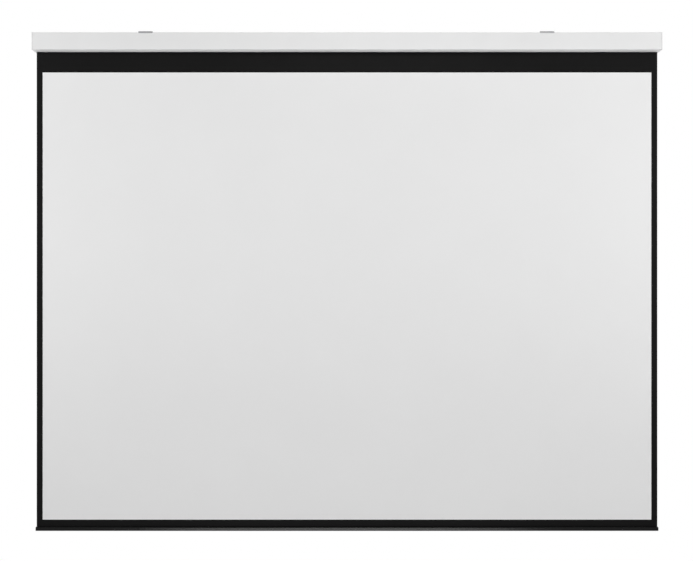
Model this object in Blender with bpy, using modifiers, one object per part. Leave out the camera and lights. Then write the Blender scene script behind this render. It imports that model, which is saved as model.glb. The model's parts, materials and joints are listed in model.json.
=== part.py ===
"""Motorised projector screen: case on two brackets, motor roller, bordered sheet and weight bar."""

import math

import bmesh
import bpy
from mathutils import Euler, Vector

# Driving dimensions in metres. X runs to the viewer's right, Y to the wall and Z up.
# The wall is the plane y = 0 and the brackets' tops lie in the plane z = 0.

# Screen
VIEW_WIDTH = 2.400
VIEW_HEIGHT = 1.763
SIDE_BORDER = 0.0235
BOTTOM_BORDER = 0.0280
TOP_DROP = 0.0801
SHEET_THICKNESS = 0.00035

# Case
END_PLATE = 0.004
CASE_WALL = 0.0016
CASE_CORNER = 0.001
PLATE_EDGE = 0.0005
WALL_GAP = 0.005
CEILING_GAP = 0.0046
ROLL_CLEARANCE = 0.00183
SHEET_END_CLEARANCE = 0.0015
SLOT_AHEAD = 0.005
SLOT_MARGIN = 0.0036
REAR_CHANNEL = 0.017
SLOT_LIP = 0.006

# Hanging grooves and the clip that joins the two extrusions
HOOK_CLEARANCE = 0.0007
HOOK_MOUTH_BEHIND = 0.0016
FOOT_GRIP = 0.0029
FOOT_END_GAP = 0.0005
CLIP_WALL = 0.0012
CLIP_GAP = 0.0004
CLIP_HEAD = 0.0014
CLIP_LIP = 0.0019

# Roller
TUBE_RADIUS = 0.025
TUBE_WALL = 0.0015
TUBE_END_MARGIN = 0.0003
WRAP_PITCH = 0.0004
WRAP_START_GAP = 0.0002
TURNS_LEFT = 1.75
GROOVE_MOUTH = 0.0028
GROOVE_LIP = 0.0011
SPLINE_WIDTH = 0.0062
SPLINE_THICKNESS = 0.0007
KEY_DEPTH = 0.0021
KEY_WIDTH = 0.0032
WHEEL_LENGTH = 0.022
WHEEL_HUB_WALL = 0.004
WHEEL_RIM_WALL = 0.0052
SPOKE_WIDTH = 0.006

# Motor and the other end's stub axle
HEAD_CLEARANCE = 0.0008
HEAD_LENGTH = 0.045
HEAD_EDGE = 0.0006
MOTOR_STEP = 0.0031
MOTOR_LENGTH = 0.380
MOTOR_EDGE = 0.0008
NOSE_RADIUS = 0.009
NOSE_LENGTH = 0.006
SHAFT_RADIUS = 0.005
SHAFT_FLAT = 0.004
SHAFT_SEAT = 0.008
SHAFT_CLIP_THICKNESS = 0.0012
SHAFT_CLIP_WIDTH = 0.0032
SHAFT_CLIP_OPENING = math.radians(70)
CROWN_LENGTH = 0.014
PIN_RADIUS = 0.004
PIN_LENGTH = 0.032
PIN_FLANGE_RADIUS = 0.009
PIN_FLANGE = 0.0025
PIN_EDGE = 0.0005
PLUG_LENGTH = 0.038
BUSH_WALL = 0.0044
BUSH_FLANGE = 0.003
BUSH_FLANGE_RISE = 0.002
SOCKET_WIDTH = 0.0184
SOCKET_HEIGHT = 0.0109
SOCKET_WALL = 0.0014
SOCKET_CORNER = 0.0008
SOCKET_DEPTH = 0.0166
SOCKET_FLOOR = 0.002
SOCKET_DROP = 0.0085
SOCKET_PIN_RADIUS = 0.0008
SOCKET_PIN_LENGTH = 0.006
SOCKET_PIN_PITCH = 0.0045
LIMIT_INSET = 0.0066
LIMIT_ANGLE = math.radians(35)
LIMIT_RADIUS = 0.003
LIMIT_LENGTH = 0.010
LIMIT_KEY_RADIUS = 0.00173
LIMIT_ACCESS_RADIUS = 0.0026
MOTOR_SCREW_INSET = 0.0051
MOTOR_SCREW_RISE = 0.002
TUBE_RIVET_RADIUS = 0.0016
TUBE_RIVET_HEAD_RADIUS = 0.0028
TUBE_RIVET_CONE = 0.001

# Weight bar
BAR_DEPTH = 0.022
BAR_HEIGHT = 0.015
BAR_WALL = 0.0014
BAR_TOP_CORNER = 0.003
BAR_BOTTOM_CORNER = 0.0035
BAR_CAP = 0.0035
BAR_CAP_EDGE = 0.0012
BAR_OVERHANG = 0.0020
BAR_STOP_GAP = 0.001
KEDER_MOUTH = 0.0026
KEDER_WIDTH = 0.0076
KEDER_WALL = 0.0012
HEM_SPLINE_RADIUS = 0.0014
HEM_RISE = 0.002
STRIP_WIDTH = 0.011
STRIP_THICKNESS = 0.005
STRIP_END_GAP = 0.018
CAP_PLUG = 0.012

# Brackets and latches
BRACKET_LEFT_X = -0.785
BRACKET_RIGHT_X = 0.780
BRACKET_WIDTH = 0.055
BRACKET_DROP = 0.058
STEEL = 0.002
BEND_RADIUS = 0.001
HOOK_DROP = 0.008
TONGUE_WIDTH = 0.025
TONGUE_RELIEF = 0.0005
TONGUE_WINDOW = 0.012
SCREW_SLOT_WIDTH = 0.0055
SCREW_SLOT_LENGTH = 0.012
SCREW_SLOT_OFFSET = 0.015
WALL_SLOT_DROP = 0.030
CEILING_SLOT_FROM_WALL = 0.062
STEM_RADIUS = 0.0034
LEVER_HUB_RADIUS = 0.007
LEVER_TIP_RADIUS = 0.0055
LEVER_LENGTH = 0.0365
RIVET_RADIUS = 0.002
RIVET_HEAD_RADIUS = 0.004
RIVET_HEAD_HEIGHT = 0.0015
RIVET_TAIL_RADIUS = 0.0032
RIVET_TAIL = 0.001
BLADE_SIDE_GAP = 0.0005

# Countersunk screws and their ports in the extrusions
PORT_BORE = 0.0018
PORT_WALL = 0.0014
PORT_INSET = 0.003
PORT_SLIT = 0.0016
SCREW_HEAD_RADIUS = 0.0037
SCREW_CONE = 0.0022
SCREW_LENGTH = 0.018
SCREW_SINK = 0.0001
CUTTER_REACH = 0.001

FIT = 0.0003
TURN = 2 * math.pi
QUARTER = math.pi / 2
ROUND_STEPS = 48
CORNER_STEPS = 4

# Sheet and roll
SHEET_WIDTH = VIEW_WIDTH + 2 * SIDE_BORDER
DROP_TRAVEL = TOP_DROP + VIEW_HEIGHT + BOTTOM_BORDER - BAR_STOP_GAP
WRAP_INNER = TUBE_RADIUS + WRAP_START_GAP
SHEET_RADIUS = WRAP_INNER + SHEET_THICKNESS / 2 + WRAP_PITCH * TURNS_LEFT
WRAPPED_LENGTH = TURN * TURNS_LEFT * (SHEET_RADIUS - WRAP_PITCH * TURNS_LEFT / 2)
ROLL_RADIUS = math.sqrt(WRAP_INNER**2 + (DROP_TRAVEL + WRAPPED_LENGTH) * WRAP_PITCH / math.pi)

# Case section
PROFILE_LENGTH = SHEET_WIDTH + 2 * SHEET_END_CLEARANCE
CASE_HALF = PROFILE_LENGTH / 2
CASE_BACK = -WALL_GAP
WEB_FRONT = CASE_BACK - REAR_CHANNEL
SHEET_Y = WEB_FRONT - SLOT_MARGIN - (ROLL_RADIUS - SHEET_RADIUS)
ROLLER_Y = SHEET_Y - SHEET_RADIUS
COVER_INNER = ROLLER_Y - ROLL_RADIUS - ROLL_CLEARANCE
CASE_FRONT = COVER_INNER - CASE_WALL
SLOT_FRONT = SHEET_Y - SLOT_AHEAD
CASE_TOP = -CEILING_GAP
TOP_INNER = CASE_TOP - CASE_WALL
ROLLER_Z = TOP_INNER - ROLL_CLEARANCE - ROLL_RADIUS
BOTTOM_INNER = ROLLER_Z - ROLL_RADIUS - ROLL_CLEARANCE
CASE_BOTTOM = BOTTOM_INNER - CASE_WALL
WEB_BACK = WEB_FRONT + CASE_WALL
BACK_INNER = CASE_BACK - CASE_WALL

# Hook groove and clip, from the bracket's tongue down
TONGUE_FRONT = COVER_INNER + HOOK_CLEARANCE
TONGUE_BACK = TONGUE_FRONT + STEEL
FLANGE_EDGE = TONGUE_BACK + HOOK_MOUTH_BEHIND
FOOT_END = FLANGE_EDGE + FOOT_GRIP
GROOVE_BACK = FOOT_END + FOOT_END_GAP
FOOT_TOP = TOP_INNER - FIT
FOOT_BOTTOM = FOOT_TOP - STEEL
UPPER_HOOK_TOP = FOOT_BOTTOM - FIT - CLIP_GAP
UPPER_HOOK = UPPER_HOOK_TOP - CLIP_WALL
CLIP_TOP = UPPER_HOOK - CLIP_GAP
GROOVE_FLOOR = CLIP_TOP - CLIP_LIP
GROOVE_UNDER = GROOVE_FLOOR - CASE_WALL
CLIP_BOTTOM = GROOVE_UNDER - CLIP_LIP
LOWER_HOOK = CLIP_BOTTOM - CLIP_GAP
LOWER_HOOK_UNDER = LOWER_HOOK - CLIP_WALL
CLIP_FRONT = COVER_INNER + FIT
CLIP_BACK = CLIP_FRONT + CLIP_HEAD
HOOK_TIP_FRONT = CLIP_BACK + FIT
HOOK_TIP_BACK = HOOK_TIP_FRONT + CLIP_WALL
HOOK_TIP_DEPTH = CLIP_LIP - CLIP_WALL / 2

# Latch channel at the rear of the case's top
LATCH_Y = (WEB_BACK + BACK_INNER) / 2
MOUTH_HALF = STEM_RADIUS + FIT
BLADE_RADIUS = (BACK_INNER - WEB_BACK) / 2 - FOOT_END_GAP
BLADE_TOP = TOP_INNER - FIT
BLADE_BOTTOM = BLADE_TOP - STEEL
LEVER_TOP = -STEEL - FIT
LEVER_BOTTOM = CASE_TOP + FIT

# Screw ports, as the corner that each sits in and the directions of the corner's two walls
FRONT_TOP_PORT = ((GROOVE_BACK + CASE_WALL, TOP_INNER), (1, 0), (0, -1))
FRONT_BOTTOM_PORT = ((COVER_INNER, BOTTOM_INNER), (1, 0), (0, 1))
REAR_TOP_PORT = ((WEB_BACK, GROOVE_UNDER), (1, 0), (0, -1))
REAR_BOTTOM_PORT = ((BACK_INNER, BOTTOM_INNER), (-1, 0), (0, 1))
PORTS = (FRONT_TOP_PORT, FRONT_BOTTOM_PORT, REAR_TOP_PORT, REAR_BOTTOM_PORT)

# Roller and what turns in it
TUBE_LENGTH = SHEET_WIDTH + 2 * TUBE_END_MARGIN
BORE_RADIUS = TUBE_RADIUS - TUBE_WALL
KEY_TIP = BORE_RADIUS - KEY_DEPTH
POCKET_TOP = TUBE_RADIUS - GROOVE_LIP
POCKET_BOTTOM = POCKET_TOP - SPLINE_THICKNESS - 2 * FIT
POCKET_HALF = SPLINE_WIDTH / 2 + FIT
GROOVE_KEY_HALF = POCKET_HALF + POCKET_BOTTOM - KEY_TIP
GROOVE_ANGLE = -QUARTER
KEYS = (
    (GROOVE_ANGLE, GROOVE_KEY_HALF),
    (GROOVE_ANGLE + TURN / 3, KEY_WIDTH / 2),
    (GROOVE_ANGLE + 2 * TURN / 3, KEY_WIDTH / 2),
)
RIM_INNER = BORE_RADIUS - FIT - WHEEL_RIM_WALL
HEAD_RADIUS = KEY_TIP - HEAD_CLEARANCE
MOTOR_RADIUS = HEAD_RADIUS - MOTOR_STEP

# Stations along X inside the roller
HEAD_FACE = -CASE_HALF + FIT
HEAD_BACK = HEAD_FACE + HEAD_LENGTH
MOTOR_START = HEAD_BACK + FIT
MOTOR_END = MOTOR_START + MOTOR_LENGTH
CROWN_START = MOTOR_START + FIT
NOSE_END = MOTOR_END + NOSE_LENGTH
WHEEL_START = NOSE_END + FIT
WHEEL_END = WHEEL_START + WHEEL_LENGTH
SHAFT_START = NOSE_END - SHAFT_SEAT + FIT
CLIP_START = WHEEL_END + FIT
SHAFT_END = CLIP_START + 2 * SHAFT_CLIP_THICKNESS + FIT
PIN_FACE = CASE_HALF - FIT
BUSH_FACE = PIN_FACE - PIN_FLANGE - FIT
PLUG_END = BUSH_FACE - BUSH_FLANGE
PLUG_START = PLUG_END - PLUG_LENGTH
DRIVE_RIVET_X = WHEEL_START + WHEEL_LENGTH / 2
IDLER_RIVET_X = PLUG_START + PLUG_LENGTH / 2
SOCKET_FACE = -CASE_HALF - END_PLATE + FIT
SOCKET_Z = ROLLER_Z - SOCKET_DROP
LIMIT_FACE = HEAD_FACE + 2 * FIT
LIMIT_CIRCLE = HEAD_RADIUS - LIMIT_INSET
LIMIT_OFFSET = LIMIT_CIRCLE * math.sin(LIMIT_ANGLE)
LIMIT_Z = ROLLER_Z + LIMIT_CIRCLE * math.cos(LIMIT_ANGLE)
MOTOR_SCREW_OFFSET = HEAD_RADIUS - MOTOR_SCREW_INSET
MOTOR_SCREW_Z = ROLLER_Z + MOTOR_SCREW_RISE

# Weight bar, in heights from the bar's top
BAR_TOP = CASE_BOTTOM - TOP_DROP - VIEW_HEIGHT - BOTTOM_BORDER
BAR_LENGTH = SHEET_WIDTH + 2 * BAR_OVERHANG
BAR_PROFILE_LENGTH = BAR_LENGTH - 2 * BAR_CAP
HEM_LENGTH = BAR_PROFILE_LENGTH - 2 * FIT
HEM_LOOP_INNER = HEM_SPLINE_RADIUS + FIT
HEM_LOOP_OUTER = HEM_LOOP_INNER + SHEET_THICKNESS
HEM_CENTRE = -BAR_WALL - FIT - HEM_LOOP_OUTER
KEDER_FLOOR = HEM_CENTRE - HEM_LOOP_OUTER - FIT
KEDER_UNDER = KEDER_FLOOR - KEDER_WALL
STRIP_BOTTOM = -BAR_HEIGHT + BAR_WALL + FIT

PARTS = "projector_screen"
CUTTERS = "projector_screen_cutters"


def clear_scene():
    for old in list(bpy.data.objects):
        bpy.data.objects.remove(old)
    for name in (PARTS, CUTTERS):
        bpy.context.scene.collection.children.link(bpy.data.collections.new(name))


def finish(name, colour, roughness, metallic):
    """A Principled material of that name, made once."""
    material = bpy.data.materials.get(name)
    if material is None:
        material = bpy.data.materials.new(name)
        material.use_nodes = True
        material.diffuse_color = (*colour, 1.0)
        shader = material.node_tree.nodes["Principled BSDF"]
        shader.inputs["Base Color"].default_value = (*colour, 1.0)
        shader.inputs["Roughness"].default_value = roughness
        shader.inputs["Metallic"].default_value = metallic
    return material


def white_paint():
    return finish("white_powder_coat", (0.80, 0.80, 0.80), 0.45, 0.0)


def white_plastic():
    return finish("white_plastic", (0.74, 0.74, 0.74), 0.40, 0.0)


def black_plastic():
    return finish("black_plastic", (0.02, 0.02, 0.02), 0.45, 0.0)


def black_paint():
    return finish("black_powder_coat", (0.015, 0.015, 0.015), 0.30, 0.0)


def white_fabric():
    return finish("white_screen_fabric", (0.82, 0.82, 0.82), 0.85, 0.0)


def black_fabric():
    return finish("black_screen_fabric", (0.02, 0.02, 0.02), 0.85, 0.0)


def zinc_steel():
    return finish("zinc_plated_steel", (0.55, 0.56, 0.58), 0.38, 1.0)


def bare_steel():
    return finish("bare_steel", (0.50, 0.50, 0.50), 0.30, 1.0)


def bare_aluminium():
    return finish("bare_aluminium", (0.72, 0.72, 0.73), 0.35, 1.0)


def natural_nylon():
    return finish("natural_nylon", (0.75, 0.73, 0.66), 0.50, 0.0)


def black_steel():
    return finish("black_motor_tube", (0.06, 0.06, 0.07), 0.40, 1.0)


def yellow_plastic():
    return finish("yellow_plastic", (0.80, 0.62, 0.05), 0.45, 0.0)


def frame(name, at, parent=None):
    """An empty that carries a body, placed by its world position."""
    empty = bpy.data.objects.new(name, None)
    empty.empty_display_size = 0.05
    bpy.data.collections[PARTS].objects.link(empty)
    put(empty, at, parent)
    return empty


def world_place(thing):
    place = Vector((0, 0, 0))
    while thing is not None:
        place += thing.location
        thing = thing.parent
    return place


def put(thing, at, parent):
    """Place a thing by its world position under a parent that isn't turned."""
    thing.parent = parent
    thing.location = Vector(at) - world_place(parent)


def piece(name, mesh, material, at, parent=None, turn=(0, 0, 0)):
    """A named sub-part."""
    new = bpy.data.objects.new(name, mesh)
    if not mesh.materials:
        mesh.materials.append(material)
    bpy.data.collections[PARTS].objects.link(new)
    new.rotation_euler = turn
    put(new, at, parent)
    return new


def cutter(name, mesh, at, parent=None, turn=(0, 0, 0)):
    """A shape that a Boolean takes away or adds, hidden in the finished model."""
    new = bpy.data.objects.new(name, mesh)
    bpy.data.collections[CUTTERS].objects.link(new)
    new.rotation_euler = turn
    new.hide_render = True
    new.display_type = "WIRE"
    put(new, at, parent)
    return new


def cut(target, tool, operation="DIFFERENCE"):
    boolean = target.modifiers.new(f"{operation.lower()}_{tool.name}", "BOOLEAN")
    boolean.operation = operation
    boolean.solver = "EXACT"
    boolean.object = tool


def fuse(target, tool):
    cut(target, tool, "UNION")


def spin_up(thing, steps):
    """Turn an object's profile about its own Z axis."""
    screw = thing.modifiers.new("turned", "SCREW")
    screw.steps = steps
    screw.render_steps = steps
    screw.use_merge_vertices = True
    screw.merge_threshold = 0.00001
    return thing


def bevel(thing, width, segments=2):
    edges = thing.modifiers.new("bevelled_edges", "BEVEL")
    edges.width = width
    edges.segments = segments
    edges.limit_method = "ANGLE"
    edges.angle_limit = math.radians(50)


def arc(centre, radius, start, end, steps):
    return [
        (
            centre[0] + radius * math.cos(start + (end - start) * step / steps),
            centre[1] + radius * math.sin(start + (end - start) * step / steps),
        )
        for step in range(steps + 1)
    ]


def circle(centre, radius, steps=ROUND_STEPS):
    return arc(centre, radius, 0, TURN, steps)[:-1]


def rounded(corners, steps=CORNER_STEPS):
    """A closed outline through (u, v) corners, where a third number rounds the corner by that radius."""
    points = []
    for number, corner in enumerate(corners):
        here = Vector(corner[:2])
        if len(corner) == 2:
            points.append(tuple(here))
            continue
        back = (Vector(corners[number - 1][:2]) - here).normalized()
        ahead = (Vector(corners[(number + 1) % len(corners)][:2]) - here).normalized()
        half = back.angle(ahead) / 2
        centre = here + (back + ahead).normalized() * corner[2] / math.sin(half)
        first = here + back * corner[2] / math.tan(half) - centre
        last = here + ahead * corner[2] / math.tan(half) - centre
        start = math.atan2(first.y, first.x)
        sweep = (math.atan2(last.y, last.x) - start + math.pi) % TURN - math.pi
        points += arc(centre, corner[2], start, start + sweep, steps)
    return points


def box_outline(half_u, half_v, centre=(0, 0), radius=0.0):
    signs = ((-1, -1), (1, -1), (1, 1), (-1, 1))
    corner = (radius,) if radius else ()
    return rounded(
        [(centre[0] + u * half_u, centre[1] + v * half_v, *corner) for u, v in signs]
    )


def extruded(name, outlines, length, axis="X"):
    """Mesh of flat outlines, holes included, drawn out to a length about their plane.

    The outlines lie in the YZ, XZ or XY plane for the axis X, Y or Z.
    """
    curve = bpy.data.curves.new(name, "CURVE")
    curve.dimensions = "2D"
    curve.fill_mode = "BOTH"
    curve.extrude = length / 2
    for outline in outlines:
        spline = curve.splines.new("POLY")
        spline.points.add(len(outline) - 1)
        for point, (u, v) in zip(spline.points, outline):
            point.co = (u, v, 0, 1)
        spline.use_cyclic_u = True
    drawn = bpy.data.objects.new(name, curve)
    bpy.context.scene.collection.objects.link(drawn)
    graph = bpy.context.evaluated_depsgraph_get()
    mesh = bpy.data.meshes.new_from_object(drawn.evaluated_get(graph))
    bpy.data.objects.remove(drawn)
    bpy.data.curves.remove(curve)
    lay = {"X": (QUARTER, 0, QUARTER), "Y": (QUARTER, 0, 0), "Z": (0, 0, 0)}[axis]
    mesh.transform(Euler(lay).to_matrix().to_4x4())
    form = bmesh.new()
    form.from_mesh(mesh)
    bmesh.ops.remove_doubles(form, verts=form.verts, dist=0.000001)
    bmesh.ops.recalc_face_normals(form, faces=form.faces)
    form.to_mesh(mesh)
    form.free()
    mesh.name = name
    mesh.materials.clear()
    mesh.shade_smooth()
    mesh.set_sharp_from_angle(angle=math.radians(35))
    return mesh


def profile(name, points, ring=False):
    """Mesh of a (radius, height) line at +X, running down its outer side, for spin_up."""
    count = len(points)
    edges = [(number, (number + 1) % count) for number in range(count if ring else count - 1)]
    mesh = bpy.data.meshes.new(name)
    mesh.from_pydata([(radius, 0, height) for radius, height in points], edges, [])
    return mesh


def rod(name, radius, low, high):
    return profile(name, [(0, high), (radius, high), (radius, low), (0, low)])


def ring(name, inner, outer, low, high):
    corners = [(outer, high), (outer, low), (inner, low), (inner, high)]
    return profile(name, corners, ring=True)


def screw_port(corner, wall_a, wall_b):
    """The slit boss of an extrusion's screw port, from one wall of its corner to the other."""
    centre = port_centre(corner, wall_a, wall_b)
    outer = PORT_BORE + PORT_WALL
    reach = math.sqrt(outer**2 - PORT_INSET**2)
    start = math.atan2(-PORT_INSET, reach)
    end = math.atan2(reach, -PORT_INSET)
    middle = TURN / 8
    outer_slit = math.asin(PORT_SLIT / 2 / outer)
    inner_slit = math.asin(PORT_SLIT / 2 / PORT_BORE)
    turned = arc((0, 0), outer, start, middle - outer_slit, 5)
    turned += arc((0, 0), PORT_BORE, middle - inner_slit, middle + inner_slit - TURN, 12)
    turned += arc((0, 0), outer, middle + outer_slit, end, 5)
    return [
        (
            centre[0] + a * wall_a[0] + b * wall_b[0],
            centre[1] + a * wall_a[1] + b * wall_b[1],
        )
        for a, b in turned
    ]


def port_centre(corner, wall_a, wall_b):
    return (
        corner[0] + PORT_INSET * (wall_a[0] + wall_b[0]),
        corner[1] + PORT_INSET * (wall_a[1] + wall_b[1]),
    )


def polar(middle, out, aside):
    """A point that lies so far out along an angle from the roller's axis, and so far to its side."""
    return (
        out * math.cos(middle) - aside * math.sin(middle),
        out * math.sin(middle) + aside * math.cos(middle),
    )


def keyed_outline(gap):
    """The tube's bore with its three keys, or what slides into it with a gap all round."""
    radius = BORE_RADIUS - gap
    points = []
    for number, (middle, half) in enumerate(KEYS):
        half += gap
        spread = math.asin(half / radius)
        following, next_half = KEYS[(number + 1) % len(KEYS)]
        next_start = following - math.asin((next_half + gap) / radius)
        if next_start < middle:
            next_start += TURN
        points.append(polar(middle, KEY_TIP - gap, -half))
        points.append(polar(middle, KEY_TIP - gap, half))
        points += arc((0, 0), radius, middle + spread, next_start, 12)
    return points


def tube_outer():
    """The tube's outside, open at the groove that holds the sheet's spline."""
    mouth = GROOVE_MOUTH / 2
    spread = math.asin(mouth / TUBE_RADIUS)
    start = GROOVE_ANGLE + spread
    points = arc((0, 0), TUBE_RADIUS, start, start + TURN - 2 * spread, ROUND_STEPS)
    pocket = (
        (POCKET_TOP, -mouth),
        (POCKET_TOP, -POCKET_HALF),
        (POCKET_BOTTOM, -POCKET_HALF),
        (POCKET_BOTTOM, POCKET_HALF),
        (POCKET_TOP, POCKET_HALF),
        (POCKET_TOP, mouth),
    )
    return points + [polar(GROOVE_ANGLE, out, aside) for out, aside in pocket]


def wheel_windows(hub):
    """The three openings between a wheel's hub, rim and spokes."""
    windows = []
    for middle, _ in KEYS:
        across = middle + TURN / 6
        outer = TURN / 6 - math.asin(SPOKE_WIDTH / 2 / RIM_INNER)
        inner = TURN / 6 - math.asin(SPOKE_WIDTH / 2 / hub)
        window = arc((0, 0), RIM_INNER, across - outer, across + outer, 8)
        window += arc((0, 0), hub, across + inner, across - inner, 5)
        windows.append(window)
    return windows


def flatted(radius, flat):
    """A round outline with one flat, as a D-shaped shaft has."""
    half = math.acos(flat / radius)
    return arc((0, 0), radius, QUARTER + half, QUARTER + TURN - half, 24)


def countersunk_profile(gap=0.0):
    """Half section of a countersunk screw, or of its hole where a gap is given."""
    reach = CUTTER_REACH if gap else 0.0
    head = SCREW_HEAD_RADIUS + gap
    shank = PORT_BORE - FIT + gap
    return [
        (0, reach),
        (head, reach),
        (head, 0),
        (shank, -SCREW_CONE),
        (shank, -SCREW_LENGTH - gap),
        (0, -SCREW_LENGTH - gap),
    ]


def screw_profile():
    points = countersunk_profile()
    return points[:1] + points[2:]


def to_the_side(side):
    """The turn that lays a turned piece's top towards -X or +X."""
    return (0, side * QUARTER, 0)


def case_rear_profile(case):
    outside = [
        (FLANGE_EDGE, CASE_TOP),
        (LATCH_Y - MOUTH_HALF, CASE_TOP),
        (LATCH_Y - MOUTH_HALF, TOP_INNER),
        (WEB_BACK, TOP_INNER),
        (WEB_BACK, GROOVE_FLOOR),
        (BACK_INNER, GROOVE_FLOOR),
        (BACK_INNER, TOP_INNER),
        (LATCH_Y + MOUTH_HALF, TOP_INNER),
        (LATCH_Y + MOUTH_HALF, CASE_TOP),
        (CASE_BACK, CASE_TOP, CASE_CORNER),
        (CASE_BACK, CASE_BOTTOM, CASE_CORNER),
        (WEB_FRONT, CASE_BOTTOM),
        (WEB_FRONT, TOP_INNER),
        *screw_port(*FRONT_TOP_PORT),
        (GROOVE_BACK + CASE_WALL, GROOVE_UNDER),
        (CLIP_BACK, GROOVE_UNDER),
        (CLIP_BACK, CLIP_BOTTOM),
        (CLIP_FRONT, CLIP_BOTTOM),
        (CLIP_FRONT, CLIP_TOP),
        (CLIP_BACK, CLIP_TOP),
        (CLIP_BACK, GROOVE_FLOOR),
        (GROOVE_BACK, GROOVE_FLOOR),
        (GROOVE_BACK, TOP_INNER),
        (FLANGE_EDGE, TOP_INNER),
    ]
    chamber = [
        (BACK_INNER, GROOVE_UNDER),
        *screw_port(*REAR_TOP_PORT),
        (WEB_BACK, BOTTOM_INNER),
        *screw_port(*REAR_BOTTOM_PORT),
    ]
    mesh = extruded("case_rear_profile", [rounded(outside), chamber], PROFILE_LENGTH)
    piece("case_rear_profile", mesh, white_paint(), (0, 0, 0), case)


def case_front_cover(case):
    tip_low = UPPER_HOOK - HOOK_TIP_DEPTH
    tip_high = LOWER_HOOK + HOOK_TIP_DEPTH
    outside = [
        (CASE_FRONT, CASE_TOP, CASE_CORNER / 2),
        (CASE_FRONT, CASE_BOTTOM, CASE_CORNER),
        (SLOT_FRONT, CASE_BOTTOM),
        (SLOT_FRONT, BOTTOM_INNER + SLOT_LIP),
        (SLOT_FRONT - CASE_WALL, BOTTOM_INNER + SLOT_LIP),
        (SLOT_FRONT - CASE_WALL, BOTTOM_INNER),
        *screw_port(*FRONT_BOTTOM_PORT),
        (COVER_INNER, LOWER_HOOK_UNDER),
        (HOOK_TIP_BACK, LOWER_HOOK_UNDER),
        (HOOK_TIP_BACK, tip_high),
        (HOOK_TIP_FRONT, tip_high),
        (HOOK_TIP_FRONT, LOWER_HOOK),
        (COVER_INNER, LOWER_HOOK),
        (COVER_INNER, UPPER_HOOK),
        (HOOK_TIP_FRONT, UPPER_HOOK),
        (HOOK_TIP_FRONT, tip_low),
        (HOOK_TIP_BACK, tip_low),
        (HOOK_TIP_BACK, UPPER_HOOK_TOP),
        (COVER_INNER, UPPER_HOOK_TOP),
        (COVER_INNER, CASE_TOP),
    ]
    mesh = extruded("case_front_cover", [rounded(outside)], PROFILE_LENGTH)
    piece("case_front_cover", mesh, white_paint(), (0, 0, 0), case)


def end_plates(case):
    """Both end plates with their screws, and the holes that the screws go in."""
    hole = profile("countersunk_hole", countersunk_profile(FIT))
    screw = profile("countersunk_screw", screw_profile())
    outline = rounded(
        [
            (CASE_FRONT, CASE_TOP, CASE_CORNER),
            (CASE_FRONT, CASE_BOTTOM, CASE_CORNER),
            (CASE_BACK, CASE_BOTTOM, CASE_CORNER),
            (CASE_BACK, CASE_TOP, CASE_CORNER),
        ]
    )
    motor_screws = [(ROLLER_Y + MOTOR_SCREW_OFFSET * way, MOTOR_SCREW_Z) for way in (-1, 1)]
    plates = {}
    for word, side in (("left", -1), ("right", 1)):
        thickness = END_PLATE - FIT
        mesh = extruded(f"end_plate_{word}", [outline], thickness)
        place = side * (CASE_HALF + FIT + thickness / 2)
        plate = piece(f"end_plate_{word}", mesh, white_plastic(), (place, 0, 0), case)
        bevel(plate, PLATE_EDGE)
        fixings = [
            (f"end_plate_screw_{word}_{number + 1}", port_centre(*port))
            for number, port in enumerate(PORTS)
        ]
        if side < 0:
            fixings += [
                (f"motor_screw_{number + 1}", point) for number, point in enumerate(motor_screws)
            ]
        else:
            fixings.append(("idler_pin_screw", (ROLLER_Y, ROLLER_Z)))
        for name, (y, z) in fixings:
            at = (side * (CASE_HALF + END_PLATE), y, z)
            tool = cutter(f"hole_for_{name}", hole, at, case, to_the_side(side))
            spin_up(tool, 16)
            cut(plate, tool)
            at = (side * (CASE_HALF + END_PLATE - SCREW_SINK), y, z)
            spin_up(piece(name, screw, bare_steel(), at, case, to_the_side(side)), 16)
        plates[word] = plate
    return plates


def motor_head(case, plate):
    """The motor's head with its bores, and the left plate's windows onto it."""
    body = profile(
        "motor_head",
        [
            (0, 0),
            (HEAD_RADIUS - HEAD_EDGE, 0),
            (HEAD_RADIUS, -HEAD_EDGE),
            (HEAD_RADIUS, -HEAD_LENGTH + HEAD_EDGE),
            (HEAD_RADIUS - HEAD_EDGE, -HEAD_LENGTH),
            (0, -HEAD_LENGTH),
        ],
    )
    at = (HEAD_FACE, ROLLER_Y, ROLLER_Z)
    head = piece("motor_head", body, black_plastic(), at, case, to_the_side(-1))
    spin_up(head, ROUND_STEPS)
    for number in (1, 2):
        cut(head, bpy.data.objects[f"hole_for_motor_screw_{number}"])

    recess = extruded(
        "socket_recess",
        [box_outline(SOCKET_WIDTH / 2 + FIT, SOCKET_HEIGHT / 2 + FIT)],
        2 * (SOCKET_DEPTH + FIT),
    )
    tool = cutter("socket_recess", recess, (SOCKET_FACE, ROLLER_Y, SOCKET_Z), case)
    cut(head, tool)
    cut(plate, tool)

    bore = rod("limit_bore", LIMIT_RADIUS + FIT, -LIMIT_LENGTH - 3 * FIT, END_PLATE / 2)
    access = rod("limit_access", LIMIT_ACCESS_RADIUS, -END_PLATE / 4, 2 * END_PLATE)
    for word, way in (("up", -1), ("down", 1)):
        at = (HEAD_FACE, ROLLER_Y + way * LIMIT_OFFSET, LIMIT_Z)
        tool = cutter(f"limit_bore_{word}", bore, at, case, to_the_side(-1))
        cut(head, spin_up(tool, 24))
        tool = cutter(f"limit_access_{word}", access, at, case, to_the_side(-1))
        cut(plate, spin_up(tool, 24))


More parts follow.
